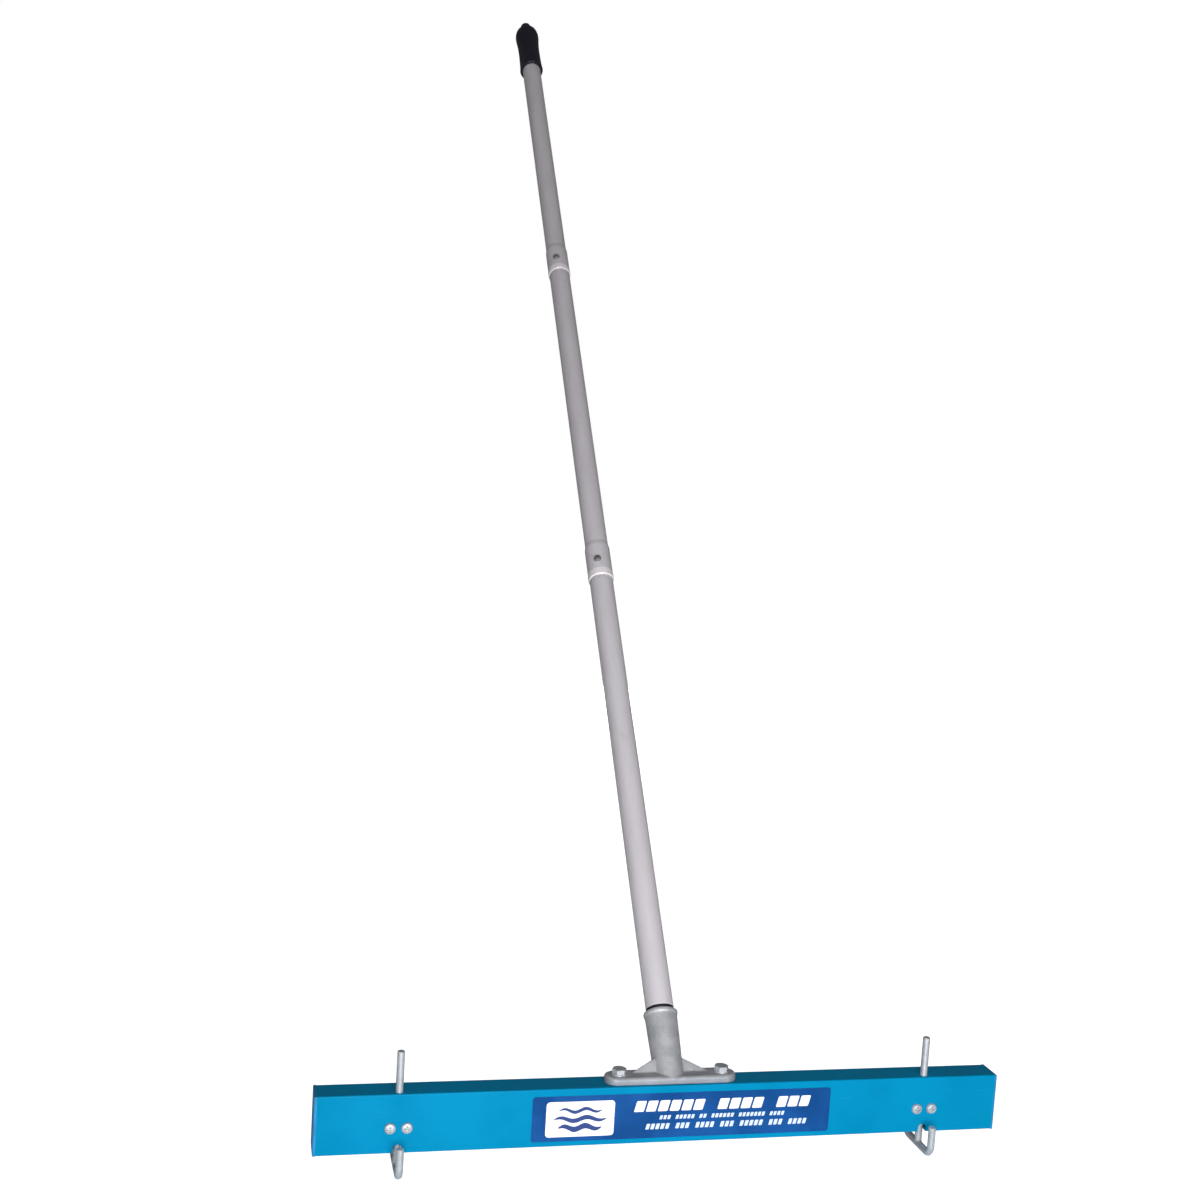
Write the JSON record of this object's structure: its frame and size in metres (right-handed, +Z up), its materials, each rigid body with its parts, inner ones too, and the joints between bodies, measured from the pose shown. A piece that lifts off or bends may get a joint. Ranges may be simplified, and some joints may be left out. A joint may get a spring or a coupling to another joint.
{
  "type": "screed spreader with adjustable skids",
  "caption": "Long-handled screed spreader: hollow aluminium blade on edge, clamped depth skids at both ends, cast handle socket and a sectional tube handle with a vinyl grip.",
  "frame": {"origin": "middle of the blade's bottom face, its working edge", "axes": "+X along the blade to the right as seen from the label's side, -Y out of the face with the label, +Z up; the handle leans back towards +Y"},
  "size_m": [0.6096, 1.1085, 1.2557],
  "materials": {
    "blade_blue": "satin blue coat on extruded aluminium",
    "cap_blue": "moulded plastic, fine grain",
    "label_film": "printed vinyl film, semi-gloss",
    "cast_aluminium": "tumbled casting",
    "tube_aluminium": "drawn tube, satin",
    "zinc_steel": "bright zinc plate",
    "spring_steel": "blued spring steel",
    "black_rubber": "matt",
    "grip_vinyl": "soft vinyl, semi-matt"
  },
  "bodies": {
    "blade": {"blade_tube": "blade_blue", "label": "label_film", "end_cap_left": "cap_blue", "end_cap_right": "cap_blue", "handle_socket": "cast_aluminium", "socket_bolts": "zinc_steel", "socket_washers": "zinc_steel", "backing_plate": "zinc_steel", "socket_nuts": "zinc_steel"},
    "handle_washer": {"tip_washer": "black_rubber"},
    "handle": {"lower_tube": "tube_aluminium", "middle_tube": "tube_aluminium", "upper_tube": "tube_aluminium", "threaded_tip": "cast_aluminium", "tip_pin": "zinc_steel", "button_spring_lower": "spring_steel", "button_spring_upper": "spring_steel", "hand_grip": "grip_vinyl"},
    "button_lower": {"spring_button_lower": "zinc_steel"},
    "button_upper": {"spring_button_upper": "zinc_steel"},
    "skid_left": {"skid_post_left": "zinc_steel", "skid_runner_left": "zinc_steel"},
    "clamp_plate_left": {"clamp_plate_left": "zinc_steel"},
    "clamp_screw_left_a": {"clamp_screw_left_a": "zinc_steel"},
    "clamp_screw_left_b": {"clamp_screw_left_b": "zinc_steel"},
    "skid_right": {"skid_post_right": "zinc_steel", "skid_runner_right": "zinc_steel"},
    "clamp_plate_right": {"clamp_plate_right": "zinc_steel"},
    "clamp_screw_right_a": {"clamp_screw_right_a": "zinc_steel"},
    "clamp_screw_right_b": {"clamp_screw_right_b": "zinc_steel"}
  },
  "joints": [
    {"name": "skid_left_height", "type": "slide", "parent": "blade", "child": "skid_left", "axis": [0, 0, 1], "range_m": [-0.03, 0.016]},
    {"name": "clamp_screw_left_a_turn", "type": "hinge", "parent": "blade", "child": "clamp_screw_left_a", "pos_m": [-0.242, -0.0127, 0.022], "axis": [0, -1, 0], "range_deg": [0, 720]},
    {"name": "clamp_screw_left_b_turn", "type": "hinge", "parent": "blade", "child": "clamp_screw_left_b", "pos_m": [-0.228, -0.0127, 0.022], "axis": [0, -1, 0], "range_deg": [0, 720]},
    {"name": "clamp_plate_left_travel", "type": "slide", "parent": "blade", "child": "clamp_plate_left", "axis": [0, 1, 0], "range_m": [0, 0.00212]},
    {"name": "skid_right_height", "type": "slide", "parent": "blade", "child": "skid_right", "axis": [0, 0, 1], "range_m": [-0.03, 0.016]},
    {"name": "clamp_screw_right_a_turn", "type": "hinge", "parent": "blade", "child": "clamp_screw_right_a", "pos_m": [0.228, -0.0127, 0.022], "axis": [0, -1, 0], "range_deg": [0, 720]},
    {"name": "clamp_screw_right_b_turn", "type": "hinge", "parent": "blade", "child": "clamp_screw_right_b", "pos_m": [0.242, -0.0127, 0.022], "axis": [0, -1, 0], "range_deg": [0, 720]},
    {"name": "clamp_plate_right_travel", "type": "slide", "parent": "blade", "child": "clamp_plate_right", "axis": [0, 1, 0], "range_m": [0, 0.00212]},
    {"name": "handle_washer_rise", "type": "slide", "parent": "blade", "child": "handle_washer", "axis": [0, 0.6691, 0.7431], "range_m": [0, 0.01017]},
    {"name": "handle_turn", "type": "hinge", "parent": "handle_washer", "child": "handle", "pos_m": [0, 0.04469, 0.09821], "axis": [0, 0.6691, 0.7431], "range_deg": [0, 720]},
    {"name": "button_lower_press", "type": "slide", "parent": "handle", "child": "button_lower", "axis": [0.342, 0.6983, -0.6288], "range_m": [0, 0.0036], "stiffness_N_per_m": 1500, "springref_m": -0.001},
    {"name": "button_upper_press", "type": "slide", "parent": "handle", "child": "button_upper", "axis": [0.342, 0.6983, -0.6288], "range_m": [0, 0.0036], "stiffness_N_per_m": 1500, "springref_m": -0.001}
  ],
  "couplings": [
    {"joint": "clamp_screw_left_a_turn", "follows": "clamp_plate_left_travel", "rad_per_m": 5937.1},
    {"joint": "clamp_screw_left_b_turn", "follows": "clamp_plate_left_travel", "rad_per_m": 5937.1},
    {"joint": "clamp_screw_right_a_turn", "follows": "clamp_plate_right_travel", "rad_per_m": 5937.1},
    {"joint": "clamp_screw_right_b_turn", "follows": "clamp_plate_right_travel", "rad_per_m": 5937.1},
    {"joint": "handle_washer_rise", "follows": "handle_turn", "m_per_rad": 0.00080851}
  ]
}
